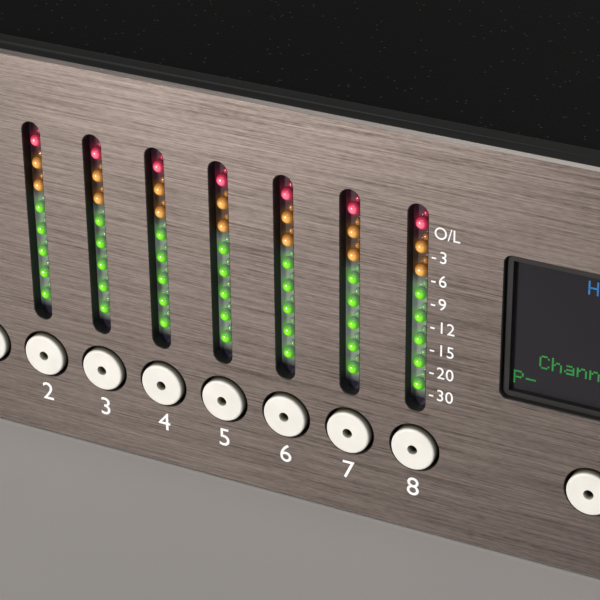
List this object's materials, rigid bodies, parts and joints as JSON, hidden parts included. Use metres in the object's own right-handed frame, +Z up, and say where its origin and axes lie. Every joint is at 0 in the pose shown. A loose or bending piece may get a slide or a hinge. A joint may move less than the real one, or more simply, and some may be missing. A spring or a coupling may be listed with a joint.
{
  "type": "rack audio interface",
  "caption": "Audio interface one rack unit high: dark brushed panel with meter columns, push buttons, colour display and knob; black chassis, cover and rear sockets.",
  "frame": {"origin": "middle of the chassis' underside, on the surface the unit rests on", "axes": "+X to the right seen from the front, along the front panel; +Y from the front panel to the rear panel; +Z up"},
  "size_m": [0.4826, 0.294, 0.0437],
  "materials": {
    "chassis_tray": "fine black powder coat",
    "top_cover": "fine black powder coat",
    "front_panel": "brushed and anodised dark grey",
    "rear_panel": "fine black powder coat",
    "cover_screws": "blackened steel",
    "panel_screws": "zinc plated",
    "rear_screws": "dark nickel",
    "front_boards": "black solder resist",
    "meter_lamps_red": "clear domed lamp, lit red",
    "meter_lamps_amber": "clear domed lamp, lit amber",
    "meter_lamps_green": "clear domed lamp, lit green",
    "key_switches": "moulded",
    "display_frame": "dark grey frame",
    "display_glass": "display glass over a dark panel",
    "display_module": "green board",
    "board_headers": "moulded header strips",
    "ribbon_cable": "grey flat cable",
    "encoder_body": "zinc die casting",
    "panel_nuts": "nickel plated",
    "jack_sockets": "black nylon",
    "main_board": "green solder resist",
    "power_supply_board": "green solder resist",
    "board_pillars": "brass pillars",
    "board_screws": "zinc plated",
    "preamp_relays": "moulded case",
    "circuit_chips": "moulded package",
    "capacitors": "sleeved can",
    "mains_transformer": "taped winding",
    "transformer_clamp": "zinc plated",
    "xlr_shells": "black chromed die casting",
    "xlr_inserts": "black nylon",
    "multipin_sockets": "tin plated shell",
    "clock_sockets": "nickel plated",
    "data_sockets": "tin plated shield",
    "mains_inlet": "black nylon",
    "inlet_pins": "nickel plated",
    "mains_switch_frame": "black nylon",
    "button_cap": "cream white moulded cap",
    "encoder_plunger": "white acetal",
    "encoder_shaft": "turned",
    "encoder_knob": "turned, fluted and anodised dark grey",
    "xlr_latch": "black nylon",
    "mains_rocker": "black nylon"
  },
  "bodies": {
    "chassis": {"chassis_tray": "chassis_tray", "top_cover": "top_cover", "front_panel": "front_panel", "rear_panel": "rear_panel", "cover_screws": "cover_screws", "panel_screws": "panel_screws", "rear_screws": "rear_screws", "front_boards": "front_boards", "meter_lamps_red": "meter_lamps_red", "meter_lamps_amber": "meter_lamps_amber", "meter_lamps_green": "meter_lamps_green", "key_switches": "key_switches", "display_frame": "display_frame", "display_glass": "display_glass", "display_module": "display_module", "board_headers": "board_headers", "ribbon_cable": "ribbon_cable", "encoder_body": "encoder_body", "panel_nuts": "panel_nuts", "jack_sockets": "jack_sockets", "main_board": "main_board", "power_supply_board": "power_supply_board", "board_pillars": "board_pillars", "board_screws": "board_screws", "preamp_relays": "preamp_relays", "circuit_chips": "circuit_chips", "capacitors": "capacitors", "mains_transformer": "mains_transformer", "transformer_clamp": "transformer_clamp", "xlr_shells": "xlr_shells", "xlr_inserts": "xlr_inserts", "multipin_sockets": "multipin_sockets", "clock_sockets": "clock_sockets", "data_sockets": "data_sockets", "mains_inlet": "mains_inlet", "inlet_pins": "inlet_pins", "mains_switch_frame": "mains_switch_frame"},
    "channel_button_1": {"channel_button_1": "button_cap"},
    "channel_button_2": {"channel_button_2": "button_cap"},
    "channel_button_3": {"channel_button_3": "button_cap"},
    "channel_button_4": {"channel_button_4": "button_cap"},
    "channel_button_5": {"channel_button_5": "button_cap"},
    "channel_button_6": {"channel_button_6": "button_cap"},
    "channel_button_7": {"channel_button_7": "button_cap"},
    "channel_button_8": {"channel_button_8": "button_cap"},
    "function_button_1": {"function_button_1": "button_cap"},
    "function_button_2": {"function_button_2": "button_cap"},
    "power_button": {"power_button": "button_cap"},
    "encoder_plunger": {"encoder_plunger": "encoder_plunger"},
    "encoder_knob": {"encoder_shaft": "encoder_shaft", "encoder_knob": "encoder_knob"},
    "xlr_latch_1": {"xlr_latch_1": "xlr_latch"},
    "xlr_latch_2": {"xlr_latch_2": "xlr_latch"},
    "xlr_latch_3": {"xlr_latch_3": "xlr_latch"},
    "xlr_latch_4": {"xlr_latch_4": "xlr_latch"},
    "xlr_latch_5": {"xlr_latch_5": "xlr_latch"},
    "xlr_latch_6": {"xlr_latch_6": "xlr_latch"},
    "xlr_latch_7": {"xlr_latch_7": "xlr_latch"},
    "xlr_latch_8": {"xlr_latch_8": "xlr_latch"},
    "mains_rocker": {"mains_rocker": "mains_rocker"}
  },
  "joints": [
    {"name": "channel_button_1_press", "type": "slide", "parent": "chassis", "child": "channel_button_1", "axis": [0, 1, 0], "range_m": [0, 0.0004], "stiffness_N_per_m": 500, "springref_m": -0.001},
    {"name": "channel_button_2_press", "type": "slide", "parent": "chassis", "child": "channel_button_2", "axis": [0, 1, 0], "range_m": [0, 0.0004], "stiffness_N_per_m": 500, "springref_m": -0.001},
    {"name": "channel_button_3_press", "type": "slide", "parent": "chassis", "child": "channel_button_3", "axis": [0, 1, 0], "range_m": [0, 0.0004], "stiffness_N_per_m": 500, "springref_m": -0.001},
    {"name": "channel_button_4_press", "type": "slide", "parent": "chassis", "child": "channel_button_4", "axis": [0, 1, 0], "range_m": [0, 0.0004], "stiffness_N_per_m": 500, "springref_m": -0.001},
    {"name": "channel_button_5_press", "type": "slide", "parent": "chassis", "child": "channel_button_5", "axis": [0, 1, 0], "range_m": [0, 0.0004], "stiffness_N_per_m": 500, "springref_m": -0.001},
    {"name": "channel_button_6_press", "type": "slide", "parent": "chassis", "child": "channel_button_6", "axis": [0, 1, 0], "range_m": [0, 0.0004], "stiffness_N_per_m": 500, "springref_m": -0.001},
    {"name": "channel_button_7_press", "type": "slide", "parent": "chassis", "child": "channel_button_7", "axis": [0, 1, 0], "range_m": [0, 0.0004], "stiffness_N_per_m": 500, "springref_m": -0.001},
    {"name": "channel_button_8_press", "type": "slide", "parent": "chassis", "child": "channel_button_8", "axis": [0, 1, 0], "range_m": [0, 0.0004], "stiffness_N_per_m": 500, "springref_m": -0.001},
    {"name": "function_button_1_press", "type": "slide", "parent": "chassis", "child": "function_button_1", "axis": [0, 1, 0], "range_m": [0, 0.0004], "stiffness_N_per_m": 500, "springref_m": -0.001},
    {"name": "function_button_2_press", "type": "slide", "parent": "chassis", "child": "function_button_2", "axis": [0, 1, 0], "range_m": [0, 0.0004], "stiffness_N_per_m": 500, "springref_m": -0.001},
    {"name": "power_button_press", "type": "slide", "parent": "chassis", "child": "power_button", "axis": [0, 1, 0], "range_m": [0, 0.0008], "stiffness_N_per_m": 600, "springref_m": -0.001},
    {"name": "encoder_push", "type": "slide", "parent": "chassis", "child": "encoder_plunger", "axis": [0, 1, 0], "range_m": [0, 0.0005], "stiffness_N_per_m": 2500, "springref_m": -0.001},
    {"name": "encoder_turn", "type": "hinge", "parent": "encoder_plunger", "child": "encoder_knob", "pos_m": [0.062, -0.1338, 0.02183], "axis": [0, -1, 0], "continuous": true},
    {"name": "xlr_latch_1_press", "type": "slide", "parent": "chassis", "child": "xlr_latch_1", "axis": [0, -1, 0], "range_m": [0, 0.002], "stiffness_N_per_m": 800, "springref_m": -0.001},
    {"name": "xlr_latch_2_press", "type": "slide", "parent": "chassis", "child": "xlr_latch_2", "axis": [0, -1, 0], "range_m": [0, 0.002], "stiffness_N_per_m": 800, "springref_m": -0.001},
    {"name": "xlr_latch_3_press", "type": "slide", "parent": "chassis", "child": "xlr_latch_3", "axis": [0, -1, 0], "range_m": [0, 0.002], "stiffness_N_per_m": 800, "springref_m": -0.001},
    {"name": "xlr_latch_4_press", "type": "slide", "parent": "chassis", "child": "xlr_latch_4", "axis": [0, -1, 0], "range_m": [0, 0.002], "stiffness_N_per_m": 800, "springref_m": -0.001},
    {"name": "xlr_latch_5_press", "type": "slide", "parent": "chassis", "child": "xlr_latch_5", "axis": [0, -1, 0], "range_m": [0, 0.002], "stiffness_N_per_m": 800, "springref_m": -0.001},
    {"name": "xlr_latch_6_press", "type": "slide", "parent": "chassis", "child": "xlr_latch_6", "axis": [0, -1, 0], "range_m": [0, 0.002], "stiffness_N_per_m": 800, "springref_m": -0.001},
    {"name": "xlr_latch_7_press", "type": "slide", "parent": "chassis", "child": "xlr_latch_7", "axis": [0, -1, 0], "range_m": [0, 0.002], "stiffness_N_per_m": 800, "springref_m": -0.001},
    {"name": "xlr_latch_8_press", "type": "slide", "parent": "chassis", "child": "xlr_latch_8", "axis": [0, -1, 0], "range_m": [0, 0.002], "stiffness_N_per_m": 800, "springref_m": -0.001},
    {"name": "mains_rocker_tilt", "type": "hinge", "parent": "chassis", "child": "mains_rocker", "pos_m": [-0.148, 0.1294, 0.02183], "axis": [-1, 0, 0], "range_deg": [0, 18]}
  ]
}
